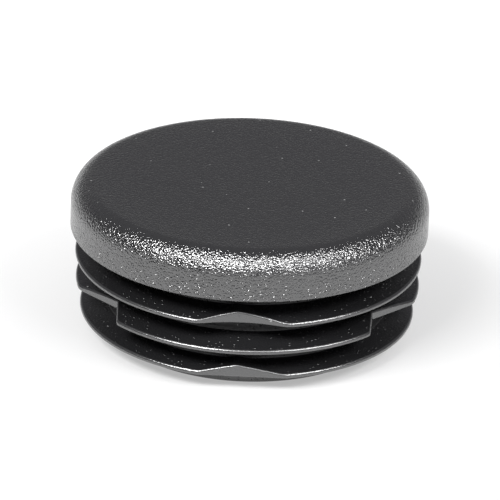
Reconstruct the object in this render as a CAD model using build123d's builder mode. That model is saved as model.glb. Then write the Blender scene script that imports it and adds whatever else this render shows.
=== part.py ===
from build123d import *

import os
from math import cos, radians, sqrt, tan

# Ribbed end cap for a 50 mm round tube: one hollow moulding in black polyethylene.
# It stands on the mouth of its skirt, with +Z up towards the head and the origin at
# the middle of the mouth. Sizes are in millimetres and angles in degrees. A setback
# is measured inwards, along a radius, from the rim of the head.

# Head: a thick disc, as wide as the tube, with a large rounded upper edge.
tube_diameter = 50.0
head_thickness = 6.7
head_edge_round = 3.25
head_rim_bevel = 0.2

# Skirt: the plain drafted wall that goes into the tube, with a bare stretch, the
# mouth land, below the last fin.
skirt_setback = 4.85
skirt_draft = 2.0
skirt_root_bevel = 0.3
mouth_land = 2.2
mouth_bevel = 0.15

# Hollow: the core side of the moulding, open at the mouth and rising into the head.
skirt_wall = 2.2
head_skin = 3.2
core_draft = 1.0
core_bevel = 1.2

# Fins: three thin discs round the skirt, with flat undersides and tops that slope
# down to the rim. The drop runs from the head to the first underside.
upper_fin_setback = 0.75
middle_fin_setback = 0.9
lower_fin_setback = 1.55
fin_drop = 4.35
fin_pitch = 4.05
fin_rim = 0.58
fin_slope = 13.5

# Reliefs: shallow dips at the front and back of the upper and lower fins. Behind each
# one the top of the fin rises from both ends of the dip to a low ridge, whose crest
# stands off the middle, on the -X side, and above the fin's own root.
relief_width = 12.2
relief_setback = 2.4
relief_round = 3.0
ridge_height = 1.18
ridge_offset = -0.7
ridge_round = 2.0

# Notches: the four corners off the middle fin. Each has a face square to the diagonal
# of the cap, which ends this far along from the diagonal, at a drafted step.
notch_face_setback = 4.35
notch_step_offset = 4.3
notch_step_draft = 2.2
notch_inner_round = 0.8
notch_outer_round = 1.0

# Worked out from the sizes above.
head_radius = tube_diameter / 2
skirt_depth = fin_drop + 2 * fin_pitch + mouth_land
skirt_radius = head_radius - skirt_setback
mouth_radius = skirt_radius - skirt_depth * tan(radians(skirt_draft))
core_mouth_radius = mouth_radius - skirt_wall
top = skirt_depth + head_thickness
outside = head_radius + 1


def corner(sketch, point):
    """The corner of a section nearest to a point."""
    return sketch.vertices().sort_by_distance(point)[0]


def relieved_plan(fin_radius):
    """Plan of the upper or lower fin: a circle that dips at the front and back."""
    half_width = relief_width / 2
    floor = head_radius - relief_setback
    shoulder = sqrt(fin_radius**2 - half_width**2)
    with BuildSketch() as plan:
        Circle(fin_radius)
        for side in (-1, 1):
            left = (-half_width, side * shoulder)
            right = (half_width, side * shoulder)
            with BuildLine():
                ThreePointArc(left, (0, side * floor), right)
                Polyline(right, (half_width, side * outside), (-half_width, side * outside), left)
            make_face(mode=Mode.SUBTRACT)
        shoulders = plan.vertices().filter_by(lambda v: abs(abs(v.X) - half_width) < 0.01)
        fillet(shoulders, relief_round)
    return plan.sketch


def notched_plan(fin_radius):
    """Plan of the middle fin: a circle with four stepped corners off it."""
    face = head_radius - notch_face_setback
    inner_x = (face + notch_step_offset) * cos(radians(45))
    inner_y = (face - notch_step_offset) * cos(radians(45))
    step_run = (outside - inner_y) * tan(radians(notch_step_draft))
    with BuildSketch() as plan:
        Circle(fin_radius)
        for side_x in (-1, 1):
            for side_y in (-1, 1):
                with BuildLine():
                    Polyline(
                        (side_x * inner_x, side_y * inner_y),
                        (side_x * outside, side_y * (inner_y - (outside - inner_x))),
                        (side_x * outside, side_y * outside),
                        (side_x * (inner_x - step_run), side_y * outside),
                        close=True,
                    )
                make_face(mode=Mode.SUBTRACT)
        inner_corners = plan.vertices().filter_by(lambda v: abs(abs(v.Y) - inner_y) < 0.01)
        fillet(inner_corners, notch_inner_round)
        outer_corners = plan.vertices().group_by(lambda v: round(abs(v.Y), 2))[-1]
        fillet(outer_corners, notch_outer_round)
    return plan.sketch


def make_fin(setback, row, make_plan, ridged):
    """One fin: a tapered disc, with its two ridges if it has them, trimmed to its plan."""
    fin_radius = head_radius - setback
    underside = skirt_depth - fin_drop - row * fin_pitch
    rim_top = underside + fin_rim
    root_radius = mouth_radius + rim_top * tan(radians(skirt_draft))
    root_top = rim_top + (fin_radius - root_radius) * tan(radians(fin_slope))
    half_width = relief_width / 2
    plan = make_plan(fin_radius)
    with BuildPart() as fin:
        with BuildSketch(Plane.XZ):
            with BuildLine():
                Polyline(
                    (0, underside), (fin_radius, underside), (fin_radius, rim_top),
                    (root_radius, root_top), (0, root_top),
                    close=True,
                )
            make_face()
        revolve(axis=Axis.Z)
        if ridged:
            crest = (ridge_offset, rim_top + ridge_height)
            with BuildSketch(Plane.XZ) as ridge:
                with BuildLine():
                    Polyline((-half_width, rim_top), (half_width, rim_top), crest, close=True)
                make_face()
                fillet(corner(ridge, crest), ridge_round)
            extrude(amount=fin_radius, both=True)
        with BuildSketch(Plane.XY.offset(underside)):
            add(plan)
        extrude(amount=fin_pitch, mode=Mode.INTERSECT)
    return fin.part


upper_fin = make_fin(upper_fin_setback, 0, relieved_plan, ridged=True)
middle_fin = make_fin(middle_fin_setback, 1, notched_plan, ridged=False)
lower_fin = make_fin(lower_fin_setback, 2, relieved_plan, ridged=True)

with BuildPart() as end_cap:
    # Head and skirt, turned from one half section, with the fins round them.
    with BuildSketch(Plane.XZ) as section:
        with BuildLine():
            Polyline(
                (0, 0), (mouth_radius, 0), (skirt_radius, skirt_depth),
                (head_radius, skirt_depth), (head_radius, top), (0, top),
                close=True,
            )
        make_face()
        fillet(corner(section, (head_radius, top)), head_edge_round)
        chamfer(corner(section, (head_radius, skirt_depth)), head_rim_bevel)
        chamfer(corner(section, (skirt_radius, skirt_depth)), skirt_root_bevel)
        chamfer(corner(section, (mouth_radius, 0)), mouth_bevel)
    revolve(axis=Axis.Z)
    add([upper_fin, middle_fin, lower_fin])

    # The hollow, taken out last so that the fins' discs end at the wall.
    with BuildSketch(Plane.XZ) as core:
        core_top = top - head_skin
        core_top_radius = core_mouth_radius - core_top * tan(radians(core_draft))
        with BuildLine():
            Polyline((0, 0), (core_mouth_radius, 0), (core_top_radius, core_top), (0, core_top), close=True)
        make_face()
        chamfer(corner(core, (core_top_radius, core_top)), core_bevel)
    revolve(axis=Axis.Z, mode=Mode.SUBTRACT)

end_cap.part.label = "end_cap"
os.makedirs("parts", exist_ok=True)
export_step(end_cap.part, "parts/end_cap.step")
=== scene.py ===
from math import cos, pi, radians, sin, sqrt, tan

import bmesh
import bpy
from mathutils import Matrix, Vector


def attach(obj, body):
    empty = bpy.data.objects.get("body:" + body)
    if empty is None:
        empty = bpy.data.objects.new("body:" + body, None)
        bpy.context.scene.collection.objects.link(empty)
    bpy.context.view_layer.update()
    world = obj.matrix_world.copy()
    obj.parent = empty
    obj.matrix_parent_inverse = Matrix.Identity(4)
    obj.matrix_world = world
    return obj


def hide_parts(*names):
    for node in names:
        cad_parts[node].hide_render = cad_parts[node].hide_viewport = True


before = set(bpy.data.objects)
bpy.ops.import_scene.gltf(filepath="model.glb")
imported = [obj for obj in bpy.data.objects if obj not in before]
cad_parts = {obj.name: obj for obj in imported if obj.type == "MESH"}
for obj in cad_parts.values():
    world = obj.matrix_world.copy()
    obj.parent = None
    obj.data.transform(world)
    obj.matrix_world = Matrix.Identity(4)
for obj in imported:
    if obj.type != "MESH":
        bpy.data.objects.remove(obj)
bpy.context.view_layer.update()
mm = 0.001

# Tube end cap. The whole object is one moulding in black low-density polyethylene: a
# thick head, a hollow skirt with a draft, and three thin fins that bend inside the tube.
# The mould was spark eroded, which leaves a coarse pebbled grain on the plastic.
head_radius = 25 * mm
head_top = 21.35 * mm
seat = 14.65 * mm
head_edge_round = 3.25 * mm
head_rim_round = 0.2 * mm

skirt_radius = 20.15 * mm
skirt_draft = tan(radians(2))
skirt_wall = 2.2 * mm
skirt_root_round = 0.08 * mm
mouth_round = 0.15 * mm
hollow_radius = skirt_radius - seat * skirt_draft - skirt_wall
hollow_roof = 18.15 * mm
hollow_draft = tan(radians(1))
hollow_round = 1.5 * mm
lip_round = 0.15 * mm

fin_slope = tan(radians(13.5))
fin_thickness = 0.64 * mm
fin_edge_round = 0.28 * mm
fin_root_round = 0.08 * mm
# A fin's blend is how softly its reliefs or notches run into its round rim.
fins = {
    "upper": {"rim": 24.25 * mm, "underside": 10.3 * mm, "notched": 0, "blend": 0.7 * mm},
    "middle": {"rim": 24.1 * mm, "underside": 6.25 * mm, "notched": 1, "blend": 0.5 * mm},
    "lower": {"rim": 23.45 * mm, "underside": 2.2 * mm, "notched": 0, "blend": 0.2 * mm},
}
relief_half_width = 6.1 * mm
relief_floor = 22.6 * mm
relief_reach = 0.37  # a relief ends within this share of the radius, east or west
ridge_height = 1.18 * mm
ridge_offset = -0.7 * mm
ridge_crest_round = 0.12  # as a share of the fall on either side
notch_face = 20.65 * mm
notch_step = 4.3 * mm
notch_step_draft = tan(radians(2.2))
notch_corner_round = 0.36 * mm

# How coarse the grain is, how high its specks stand, and how matt the plastic is. The head,
# the fins' edges and the mouth are glossy, and the rest of the skirt is matt: a rougher copy
# of the plastic that also reflects far less, and so paints shade there.
finishes_and_shade = {
    "head top": (0.6, 0, 0),
    "head top, outer part": (0.7, 0, 0),
    "head top, at its edge": (0.9, 0.2, 0),
    "head edge": (1, 0.2, 0),
    "head side": (1, 1, 0),
    "underside": (0.3, 0, 1),
    "wall": (0.1, 1, 1),
    "fin top": (0.3, 1, 1),
    "fin edge, upper": (0.15, 0.1, 0.5),
    "fin edge, middle": (0.15, 0.3, 0.3),
    "fin edge, lower": (0.15, 0.1, 0.3),
    "wall at the mouth": (0.1, 1, 0),
    "mouth": (0.1, 0, 0),
    "root or hollow": (0.1, 0, 1),
}
# The matt plastic carries painted shade: it reflects far less than the glossy one.
matt_and_shade_from = 0.6  # above this the plastic is the matt one

# The half section runs from the middle of the head, over its edge, down the skirt and
# round its mouth, up the hollow. A point on a fin says how far out it reaches towards the
# fin's outline, and how far up it rises towards the fin's top. Each flat has a ring close
# to its corners, so that the rounds keep their shading to themselves.
section = []
ring_gap = 0.6 * mm
head_top_rings = (0, 6 * mm, 14 * mm)
head_top_outer_width = 3 * mm
head_edge_gap = 0.5 * mm
head_side_ring = 1.6 * mm
head_rim_gap = 0.3 * mm
underside_gap = 1 * mm
mouth_gap = 0.2 * mm
hollow_wall_ring = 8 * mm
hollow_round_gap = 0.5 * mm
hollow_roof_rings = (6 * mm, 0)
fin_top_rings = (0.12, 0.25, 0.37, 0.5, 0.62, 0.75, 0.87, 1)
fin_top_inset = fin_edge_round * 1.5
fin_underside_inset = fin_edge_round * 2.5


def wall(height):
    """Radius of the skirt's outside at a height."""
    return skirt_radius - (seat - height) * skirt_draft


def bore(height):
    """Radius of the hollow at a height."""
    return hollow_radius - height * hollow_draft


def arc(centre_radius, centre_height, radius, start, end, steps):
    """Points of a rounded corner in the half section."""
    angles = [radians(start + (end - start) * i / steps) for i in range(steps + 1)]
    return [(centre_radius + radius * cos(a), centre_height + radius * sin(a)) for a in angles]


def add(points, finish, **on_fin):
    """Carries the half section on, through points that share a finish and its painted shade."""
    look = dict(zip(("grain", "specks", "matt_and_shade"), finishes_and_shade[finish]))
    for radius, height in points:
        section.append({"foot": radius, "level": height, **look, **on_fin})


flat_radius = head_radius - head_edge_round
add([(ring, head_top) for ring in head_top_rings], "head top")
add([(flat_radius - head_top_outer_width, head_top)], "head top, outer part")
add([(flat_radius - head_edge_gap, head_top)], "head top, at its edge")
edge_centre = (flat_radius, head_top - head_edge_round)
add(arc(*edge_centre, head_edge_round, 90, 0, steps=12), "head edge")
add([(head_radius, seat + head_side_ring)], "head side")
add([(head_radius, seat + head_rim_round + head_rim_gap)], "head side")
rim_centre = (head_radius - head_rim_round, seat + head_rim_round)
add(arc(*rim_centre, head_rim_round, 0, -90, steps=4), "head side")
add([(head_radius - ring_gap, seat), (skirt_radius + underside_gap, seat)], "underside")
root_centre = (skirt_radius + skirt_root_round, seat - skirt_root_round)
add(arc(*root_centre, skirt_root_round, 90, 180, steps=3), "root or hollow")

for name, fin in fins.items():
    rim, underside = fin["rim"], fin["underside"]
    rim_top = underside + fin_thickness
    root = wall(rim_top)
    root_top = rim_top + (rim - root) * fin_slope
    outline = {"rim": rim, "rim_top": rim_top, "notched": fin["notched"], "blend": fin["blend"]}
    if not fin["notched"]:
        # A relief is an arc through the fin's shoulders and the middle of its floor.
        sag = sqrt(rim**2 - relief_half_width**2) - relief_floor
        dip_radius = (relief_half_width**2 + sag**2) / (2 * sag)
        outline.update(dip_radius=dip_radius, dip_centre=relief_floor + dip_radius)
        outline.update(ridge=ridge_height)
    add([(wall(root_top + ring_gap), root_top + ring_gap)], "wall")
    for out, up in arc(fin_root_round, fin_root_round, fin_root_round, 180, 270, steps=3):
        foot = (wall(root_top + up), underside)
        add([foot], "wall", inset=-out, rise=1, lift=up, **outline)
    foot = (root, underside)
    for reach in fin_top_rings:
        inset = reach * fin_top_inset - (1 - reach) * fin_root_round
        add([foot], "fin top", reach=reach, inset=inset, rise=1, **outline)
    for out, up in arc(-fin_edge_round, -fin_edge_round, fin_edge_round, 90, 0, steps=5):
        add([foot], "fin edge, upper", reach=1, inset=-out, rise=1, lift=up, **outline)
    add([foot], "fin edge, middle", reach=1, rise=0.5, **outline)
    for out, up in arc(-fin_edge_round, fin_edge_round, fin_edge_round, 0, -90, steps=5):
        add([foot], "fin edge, lower", reach=1, inset=-out, lift=up, **outline)
    add([foot], "underside", reach=1, inset=fin_underside_inset, **outline)
    add([foot], "underside", reach=0.5, **outline)
    below = "wall at the mouth" if name == "lower" else "wall"
    for out, up in arc(fin_root_round, -fin_root_round, fin_root_round, 90, 180, steps=3):
        foot = (wall(underside + up), underside)
        add([foot], below, inset=-out, lift=up, **outline)
    add([(wall(underside - ring_gap), underside - ring_gap)], below)

mouth_ring = mouth_round + mouth_gap
add([(wall(mouth_ring), mouth_ring)], "wall at the mouth")
add(arc(wall(0) - mouth_round, mouth_round, mouth_round, 0, -90, steps=4), "mouth")
lip_centre = (hollow_radius + lip_round, lip_round)
add(arc(*lip_centre, lip_round, -90, -180, steps=3), "root or hollow")
add([(bore(level), level) for level in (ring_gap, hollow_wall_ring)], "root or hollow")
roof_radius = bore(hollow_roof)
roof_round_centre = (roof_radius - hollow_round, hollow_roof - hollow_round)
add([(roof_radius, hollow_roof - hollow_round - hollow_round_gap)], "root or hollow")
add(arc(*roof_round_centre, hollow_round, 0, 90, steps=6), "root or hollow")
add([(roof_radius - hollow_round - ring_gap, hollow_roof)], "root or hollow")
add([(ring, hollow_roof) for ring in hollow_roof_rings], "root or hollow")

section_mesh = bpy.data.meshes.new("half_section")
section_mesh.from_pydata(
    [(p["foot"], 0, p["level"]) for p in section],
    [(i, i + 1) for i in range(len(section) - 1)],
    [],
)
for name in (
    "foot", "level", "reach", "inset", "rise", "lift", "grain", "specks", "matt_and_shade",
    "rim", "rim_top", "ridge", "dip_radius", "dip_centre", "notched", "blend",
):
    values = section_mesh.attributes.new(name, "FLOAT", "POINT")
    values.data.foreach_set("value", [p.get(name, 0) for p in section])


def new_group(name, kind, inputs, output, output_type):
    """A node group with inputs given as names with their socket types, and one output."""
    group = bpy.data.node_groups.new(name, kind)
    for socket, socket_type in inputs.items():
        group.interface.new_socket(socket, in_out="INPUT", socket_type=socket_type)
    group.interface.new_socket(output, in_out="OUTPUT", socket_type=output_type)
    return group


def fill(node, inputs):
    """Gives inputs of a node in the tree at hand their sockets or plain values."""
    for name, value in inputs.items():
        if isinstance(value, bpy.types.NodeSocket):
            tree.links.new(value, node.inputs[name])
        else:
            node.inputs[name].default_value = value
    return node


def put(kind, inputs=None, **settings):
    """A new node in the tree at hand."""
    node = tree.nodes.new(kind)
    for name, value in settings.items():
        setattr(node, name, value)
    return fill(node, inputs or {})


def calc(operation, *values):
    """The result of a Math node on up to three sockets or numbers."""
    return put("ShaderNodeMath", dict(enumerate(values)), operation=operation).outputs[0]


# The node tree turns the half section about the cap's axis, and trims each fin to its
# outline: dips at the front and back, or four stepped corners.
turning_sizes = {
    "Steps Round": 640,
    "Fin Slope": fin_slope,
    "Relief Half Width": relief_half_width,
    "Relief Reach": relief_reach,
    "Ridge Offset": ridge_offset,
    "Ridge Crest Round": ridge_crest_round,
    "Notch Face": notch_face,
    "Notch Step": notch_step,
    "Notch Step Draft": notch_step_draft,
    "Notch Corner Round": notch_corner_round,
    "Matt And Shade From": matt_and_shade_from,
}
turning_inputs = {"Geometry": "NodeSocketGeometry"}
turning_inputs.update({name: "NodeSocketFloat" for name in turning_sizes})
turning_inputs["Steps Round"] = "NodeSocketInt"
turning_inputs.update({name: "NodeSocketMaterial" for name in ("Glossy Plastic", "Matt Shaded Plastic")})
turning = new_group(
    "turned_moulding", "GeometryNodeTree", turning_inputs, "Geometry", "NodeSocketGeometry"
)
tree = turning
given = put("NodeGroupInput").outputs


def point_value(name):
    """What a point of the half section says about itself."""
    reader = put("GeometryNodeInputNamedAttribute", {"Name": name}, data_type="FLOAT")
    return reader.outputs["Attribute"]


path = put("GeometryNodeCurvePrimitiveCircle", {"Resolution": given["Steps Round"]}, mode="RADIUS")
turn = put("GeometryNodeSplineParameter").outputs["Factor"]
marked_path = put(
    "GeometryNodeStoreNamedAttribute",
    {"Geometry": path.outputs["Curve"], "Name": "turn", "Value": turn},
    data_type="FLOAT", domain="POINT",
)
profile = put("GeometryNodeMeshToCurve", {"Mesh": given["Geometry"]})
sweep = put(
    "GeometryNodeCurveToMesh",
    {"Curve": marked_path.outputs["Geometry"], "Profile Curve": profile.outputs["Curve"]},
)

angle = calc("MULTIPLY", point_value("turn"), 2 * pi)
east, north = calc("COSINE", angle), calc("SINE", angle)
east_size, north_size = calc("ABSOLUTE", east), calc("ABSOLUTE", north)

# A relief's radius in each direction. Beside the relief it is put out of reach.
offset = calc("MULTIPLY", point_value("dip_centre"), east_size)
square = calc("MULTIPLY", point_value("dip_radius"), point_value("dip_radius"))
dip_depth = calc("SQRT", calc("SUBTRACT", square, calc("MULTIPLY", offset, offset)))
dip_middle = calc("MULTIPLY", point_value("dip_centre"), north_size)
beside = calc("GREATER_THAN", east_size, given["Relief Reach"])
relief = calc("ADD", calc("SUBTRACT", dip_middle, dip_depth), beside)

# A notch's radius in each direction: its slanting face or its step, whichever is further out.
face_reach = calc("MULTIPLY", given["Notch Face"], sqrt(2))
face = calc("DIVIDE", face_reach, calc("ADD", east_size, north_size))
face_and_step = calc("ADD", given["Notch Face"], given["Notch Step"])
face_less_step = calc("SUBTRACT", given["Notch Face"], given["Notch Step"])
corner_east = calc("MULTIPLY", face_and_step, sqrt(0.5))
corner_north = calc("MULTIPLY", face_less_step, sqrt(0.5))
step_reach = calc("MULTIPLY_ADD", corner_north, given["Notch Step Draft"], corner_east)
step_lean = calc("MULTIPLY_ADD", north_size, given["Notch Step Draft"], east_size)
step = calc("DIVIDE", step_reach, step_lean)
notch = calc("SMOOTH_MAX", face, step, given["Notch Corner Round"])

notched = point_value("notched")
relieved = calc("MULTIPLY", relief, calc("SUBTRACT", 1, notched))
cut = calc("ADD", calc("MULTIPLY", notch, notched), relieved)
limit = calc("SMOOTH_MIN", point_value("rim"), cut, point_value("blend"))
foot = point_value("foot")
reached = calc("MULTIPLY_ADD", calc("SUBTRACT", limit, foot), point_value("reach"), foot)
radius = calc("SUBTRACT", reached, point_value("inset"))

# A fin's top slopes down to its rim, or follows the ridge behind a relief where that is higher.
from_rim = calc("SUBTRACT", point_value("rim"), radius)
sloped = calc("MULTIPLY_ADD", from_rim, given["Fin Slope"], point_value("rim_top"))
sideways = calc("SUBTRACT", calc("MULTIPLY", radius, east), given["Ridge Offset"])
east_run = calc("SUBTRACT", given["Relief Half Width"], given["Ridge Offset"])
west_run = calc("ADD", given["Relief Half Width"], given["Ridge Offset"])
east_fall = calc("DIVIDE", sideways, east_run)
west_fall = calc("DIVIDE", sideways, calc("MULTIPLY", west_run, -1))
fall = calc("SMOOTH_MAX", east_fall, west_fall, given["Ridge Crest Round"])
ridge_share = calc("SUBTRACT", 1, fall)
ridged = calc("MULTIPLY_ADD", point_value("ridge"), ridge_share, point_value("rim_top"))
fin_top = calc("MAXIMUM", sloped, ridged)
level = point_value("level")
raised = calc("MULTIPLY_ADD", calc("SUBTRACT", fin_top, level), point_value("rise"), level)
height = calc("ADD", raised, point_value("lift"))

place = put("ShaderNodeCombineXYZ", {
    "X": calc("MULTIPLY", radius, east), "Y": calc("MULTIPLY", radius, north), "Z": height,
}).outputs["Vector"]
shell = put("GeometryNodeSetPosition", {"Geometry": sweep.outputs["Mesh"], "Position": place})
# Where a point is matt enough the shell takes the matt plastic, which paints shade on the fin
# tops, between the fins, under the head and in the hollow.
for kind, inputs in (
    ("GeometryNodeMergeByDistance", {"Distance": 0.001 * mm}),
    ("GeometryNodeSetShadeSmooth", {}),
    ("GeometryNodeRealizeInstances", {}),
    ("GeometryNodeSetMaterial", {"Material": given["Glossy Plastic"]}),
    ("GeometryNodeSetMaterial", {
        "Material": given["Matt Shaded Plastic"],
        "Selection": calc("GREATER_THAN", point_value("matt_and_shade"), given["Matt And Shade From"]),
    }),
):
    shell = put(kind, {"Geometry": shell.outputs["Geometry"], **inputs})
put("NodeGroupOutput", {"Geometry": shell.outputs["Geometry"]})

# Spark-eroded grain as a height: rounded pebbles with a fine grit on them, and steep specks
# here and there, in loose clusters.
pebble_smoothness = 0.25
pebble_level = 0.3
speck_radius = 1 / 3  # of the specks' spacing
speck_flank = 1.3
speck_luck = 1.5
grain = new_group(
    "spark_eroded_grain", "ShaderNodeTree",
    {
        "Place": "NodeSocketVector",
        "Pebble Size": "NodeSocketFloat",
        "Grit Size": "NodeSocketFloat",
        "Grit Height": "NodeSocketFloat",
        "Speck Spacing": "NodeSocketFloat",
        "Speck Share": "NodeSocketFloat",
        "Speck Height": "NodeSocketFloat",
        "Cluster Size": "NodeSocketFloat",
        "Coarseness": "NodeSocketFloat",
    },
    "Height", "NodeSocketFloat",
)
tree = grain
given = put("NodeGroupInput").outputs


def texture(kind, width, inputs=None, **settings):
    """A texture in the tree at hand, as wide as one of the tree's inputs says."""
    scale = calc("DIVIDE", 1, given[width])
    inputs = {"Vector": given["Place"], "Scale": scale, **(inputs or {})}
    return put(kind, inputs, **settings).outputs


pebbles = texture(
    "ShaderNodeTexVoronoi", "Pebble Size", {"Smoothness": pebble_smoothness}, feature="SMOOTH_F1"
)
grit = texture("ShaderNodeTexNoise", "Grit Size", {"Detail": 0})
clusters = texture("ShaderNodeTexNoise", "Cluster Size", {"Detail": 1})
specks = texture("ShaderNodeTexVoronoi", "Speck Spacing", feature="F1")
chance = put("ShaderNodeSeparateColor", {"Color": specks["Color"]}).outputs["Red"]
luck = calc("ADD", calc("ADD", chance, clusters["Fac"]), given["Speck Share"])
chosen = calc("GREATER_THAN", luck, speck_luck)
across = calc("POWER", calc("MULTIPLY", specks["Distance"], 1 / speck_radius), speck_flank)
dome = calc("MAXIMUM", calc("SUBTRACT", 1, across), 0)
speck = calc("MULTIPLY", calc("MULTIPLY", dome, chosen), given["Speck Height"])
pebble = calc("SUBTRACT", pebble_level, calc("POWER", pebbles["Distance"], 2))
gritty = calc("MULTIPLY", calc("SUBTRACT", grit["Fac"], 0.5), given["Grit Height"])
pebbled = calc("MULTIPLY", calc("ADD", pebble, gritty), given["Coarseness"])
put("NodeGroupOutput", {"Height": calc("ADD", pebbled, speck)})

# Sparse small pale dots, as a mask, that lighten the plastic's colour.
dots = new_group(
    "pale_dots", "ShaderNodeTree",
    {"Place": "NodeSocketVector", "Spacing": "NodeSocketFloat", "Grain Size": "NodeSocketFloat"},
    "Mask", "NodeSocketFloat",
)
tree = dots
given = put("NodeGroupInput").outputs
grains = texture("ShaderNodeTexVoronoi", "Spacing")
away = calc("MULTIPLY", grains["Distance"], given["Spacing"])
put("NodeGroupOutput", {"Mask": calc("LESS_THAN", away, given["Grain Size"])})

# Black polyethylene: glossy on the head, on the fins' edges and at the mouth, and matt on
# the rest of the skirt. The two are a lit and a shaded copy of one plastic: the matt one is
# rougher and reflects far less, which paints shade on the fin tops, between the fins, under
# the head and in the hollow. The glossy plastic is rougher where a point is a little matt.
plastic_black = (0.0095, 0.0095, 0.0102, 1)
pale_dot_grey = (0.22, 0.22, 0.22, 1)
grain_height = 0.105 * mm
plastics = {}
for name, roughness, edge_roughness, ior, specular_level, speck_height, speck_share in (
    ("black_polyethylene", 0.12, 0.34, 1.8, 1.0, 1.2, 0.85),
    ("black_polyethylene_matt_and_shade", 0.3, None, 1.45, 0.65, 1.14, 0.3),
):
    plastic = plastics[name] = bpy.data.materials.new(name)
    plastic.use_nodes = True
    tree = plastic.node_tree
    place = put("ShaderNodeTexCoord").outputs["Object"]
    coarseness = put("ShaderNodeAttribute", attribute_name="grain").outputs["Fac"]
    speckled = put("ShaderNodeAttribute", attribute_name="specks").outputs["Fac"]
    eroded = put("ShaderNodeGroup", node_tree=grain)
    fill(eroded, {
        "Place": place,
        "Pebble Size": 0.3 * mm,
        "Grit Size": 0.14 * mm,
        "Grit Height": 0.38,
        "Speck Spacing": 0.5 * mm,
        "Speck Share": speck_share,
        "Speck Height": calc("MULTIPLY", speckled, speck_height),
        "Cluster Size": 5 * mm,
        "Coarseness": coarseness,
    })
    dotted = put("ShaderNodeGroup", node_tree=dots)
    fill(dotted, {"Place": place, "Spacing": 2.5 * mm, "Grain Size": 0.13 * mm})
    bump = put("ShaderNodeBump", {"Distance": grain_height, "Height": eroded.outputs["Height"]})
    # The colour is the black plastic, lightened to pale grey in sparse small dots.
    colour = put(
        "ShaderNodeMix",
        {"A": plastic_black, "B": pale_dot_grey, "Factor": dotted.outputs["Mask"]},
        data_type="RGBA",
    )
    if edge_roughness:
        matt_and_shade = put("ShaderNodeAttribute", attribute_name="matt_and_shade").outputs["Fac"]
        roughness = calc("MULTIPLY_ADD", matt_and_shade, edge_roughness, roughness)
    fill(tree.nodes["Principled BSDF"], {
        "IOR": ior,
        "Specular IOR Level": specular_level,
        "Base Color": colour.outputs["Result"],
        "Roughness": roughness,
        "Normal": bump.outputs["Normal"],
    })

cap = bpy.data.objects.new("tube_end_cap", section_mesh)
bpy.context.scene.collection.objects.link(cap)
turned = cap.modifiers.new("turned", "NODES")
turned.node_group = turning
turning_values = {
    **turning_sizes,
    "Glossy Plastic": plastics["black_polyethylene"],
    "Matt Shaded Plastic": plastics["black_polyethylene_matt_and_shade"],
}
for socket in turning.interface.items_tree:
    if socket.name in turning_values:
        turned[socket.identifier] = turning_values[socket.name]
depsgraph = bpy.context.evaluated_depsgraph_get()
cap_mesh = bpy.data.meshes.new_from_object(cap.evaluated_get(depsgraph))
cap.modifiers.remove(turned)
cap.data = cap_mesh
skin = bmesh.new()
skin.from_mesh(cap_mesh)
bmesh.ops.recalc_face_normals(skin, faces=skin.faces)
skin.to_mesh(cap_mesh)
skin.free()
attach(cap, "root")
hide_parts("end_cap")

# Floor: a round white sheet that turns up into a low wall all round, well past the
# camera's view. Its colour is painted darker grey far out, as painted shade, and its glow is a
# painted pool of light, strongest near the cap and a little brighter at the back than at the
# front. It keeps the cap's shadow.
sheet_bend = 0.2
bend_centre = (1.7, sheet_bend)
# The sheet's grey darkens far out as painted shade, and its glow is a painted pool of light.
painted_shade_near, painted_shade_far, painted_shade_fade = 0.35, 0.24, (0.12, 0.25)
glow_front, glow_back, glow_rise = 0.4, 0.7, (-0.03, 0.08)
glow_far_share, glow_fade = 0.4, (0.13, 0.25)
to_the_back = (-0.33, 0.94, 0)
sheet_line = [(0, 0), (0.3, 0), (1, 0)] + arc(*bend_centre, sheet_bend, -90, 0, steps=6)
sheet_skin = bmesh.new()
sheet_points = [sheet_skin.verts.new((radius, 0, height)) for radius, height in sheet_line]
sheet_edges = [sheet_skin.edges.new(pair) for pair in zip(sheet_points, sheet_points[1:])]
bmesh.ops.spin(
    sheet_skin, geom=sheet_points + sheet_edges,
    axis=(0, 0, 1), cent=(0, 0, 0), steps=72, angle=2 * pi,
)
bmesh.ops.remove_doubles(sheet_skin, verts=sheet_skin.verts, dist=0.01 * mm)
bmesh.ops.recalc_face_normals(sheet_skin, faces=sheet_skin.faces)
if sheet_skin.faces[0].normal.z < 0:
    bmesh.ops.reverse_faces(sheet_skin, faces=sheet_skin.faces)
floor_mesh = bpy.data.meshes.new("floor")
sheet_skin.to_mesh(floor_mesh)
sheet_skin.free()
floor_mesh.shade_smooth()
floor = bpy.data.objects.new("floor", floor_mesh)
bpy.context.scene.collection.objects.link(floor)


def ramp(value, low, high, at_low, at_high, interpolation="LINEAR"):
    """Goes from one number to another as a value goes from low to high."""
    limits = {"From Min": low, "From Max": high, "To Min": at_low, "To Max": at_high}
    node = put("ShaderNodeMapRange", {"Value": value, **limits}, interpolation_type=interpolation)
    return node.outputs["Result"]


def along(vector, direction):
    """How far a vector goes in a direction."""
    node = put("ShaderNodeVectorMath", {0: vector, 1: direction}, operation="DOT_PRODUCT")
    return node.outputs["Value"]


sheet = bpy.data.materials.new("white_sheet")
sheet.use_nodes = True
tree = sheet.node_tree
place = put("ShaderNodeTexCoord").outputs["Object"]
distance = put("ShaderNodeVectorMath", {0: place}, operation="LENGTH").outputs["Value"]
# Painted light: the glow is stronger behind the cap and fades far out.
glow = ramp(along(place, to_the_back), *glow_rise, glow_front, glow_back, "SMOOTHSTEP")
glow_share = ramp(distance, *glow_fade, 1, glow_far_share, "SMOOTHSTEP")
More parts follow.
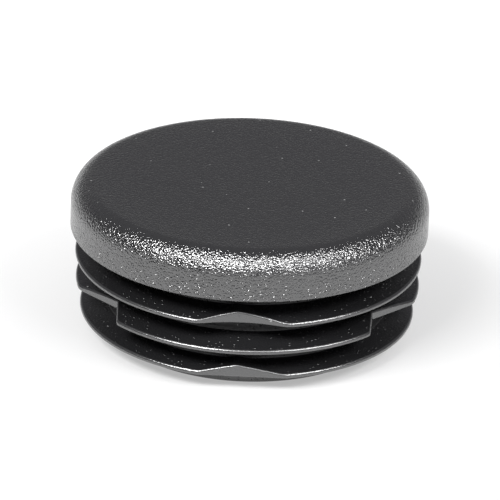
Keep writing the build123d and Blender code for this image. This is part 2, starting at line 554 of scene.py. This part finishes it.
# Painted shade: the sheet's colour darkens far out.
painted_shade_grey = ramp(distance, *painted_shade_fade, painted_shade_near, painted_shade_far, "SMOOTHSTEP")
rays = put("ShaderNodeLightPath").outputs
seen = calc("MAXIMUM", rays["Is Camera Ray"], rays["Is Glossy Ray"])
seen = calc("MAXIMUM", seen, rays["Is Transmission Ray"])
fill(tree.nodes["Principled BSDF"], {
    "Base Color": painted_shade_grey,
    "Roughness": 0.9,
    "Specular IOR Level": 0,
    "Emission Color": (1, 1, 1, 1),
    "Emission Strength": calc("MULTIPLY", seen, calc("MULTIPLY", glow, glow_share)),
})
floor_mesh.materials.append(sheet)

# Studio: a dim room, lighter overhead and behind the cap, with a pale screen at the front
# right. Three softboxes stand in front of the cap and above it, and make the bright band
# round the head's edge.
room_dark, room_light, room_turn = 0.04, 0.182, (0.2, 0.7)
room_tint = (0.955, 0.945, 1, 1)
screen_light, screen_edge = 0.5, (0.6, 0.95)
up_and_back, to_the_screen = (0, 0.7, 0.7), (0.6, -0.8, 0.15)
softbox_height = 0.2
softbox_distance = 0.7
world = bpy.data.worlds.new("studio")
bpy.context.scene.world = world
world.use_nodes = True
tree = world.node_tree
direction = put("ShaderNodeTexCoord").outputs["Generated"]
room = ramp(along(direction, up_and_back), *room_turn, room_dark, room_light)
screen = ramp(along(direction, to_the_screen), *screen_edge, 0, screen_light)
fill(tree.nodes["Background"], {"Color": room_tint, "Strength": calc("ADD", room, screen)})
# Each softbox: its degrees round from the front, its degrees up, its width and its watts.
for name, bearing, lift, width, power in (
    ("softbox_left", -38, 47, 0.34, 6.2),
    ("softbox_middle", 2, 51, 0.38, 1.1),
    ("softbox_right", 50, 45, 0.4, 4.0),
):
    lamp = bpy.data.lights.new(name, "AREA")
    lamp.shape = "RECTANGLE"
    lamp.size, lamp.size_y, lamp.energy = width, softbox_height, power
    bearing, lift = radians(bearing), radians(lift)
    towards = Vector((cos(lift) * sin(bearing), -cos(lift) * cos(bearing), sin(lift)))
    facing = towards.to_track_quat("Z", "Y").to_matrix().to_4x4()
    softbox = bpy.data.objects.new(name, lamp)
    softbox.matrix_world = Matrix.Translation(towards * softbox_distance) @ facing
    softbox.visible_camera = False
    bpy.context.scene.collection.objects.link(softbox)

# Camera: a long lens, well back from the cap and a little above it, rolled by two
# degrees. Colours show as they are written.
camera_distance = 0.6289
azimuth, elevation, roll = radians(-88.9), radians(24.597), radians(2.063)
aim = Vector((0.24 * mm, -1.43 * mm, 11.52 * mm))
camera_data = bpy.data.cameras.new("camera")
camera_data.lens = 324
camera_data.sensor_width = 36
camera = bpy.data.objects.new("camera", camera_data)
outward = Vector((cos(azimuth) * cos(elevation), sin(azimuth) * cos(elevation), sin(elevation)))
spot = Vector((0, 0, seat)) + outward * camera_distance
camera.matrix_world = (
    Matrix.Translation(spot)
    @ (spot - aim).to_track_quat("Z", "Y").to_matrix().to_4x4()
    @ Matrix.Rotation(roll, 4, "Z")
)
bpy.context.scene.collection.objects.link(camera)
bpy.context.scene.camera = camera
bpy.context.scene.view_settings.view_transform = "Standard"
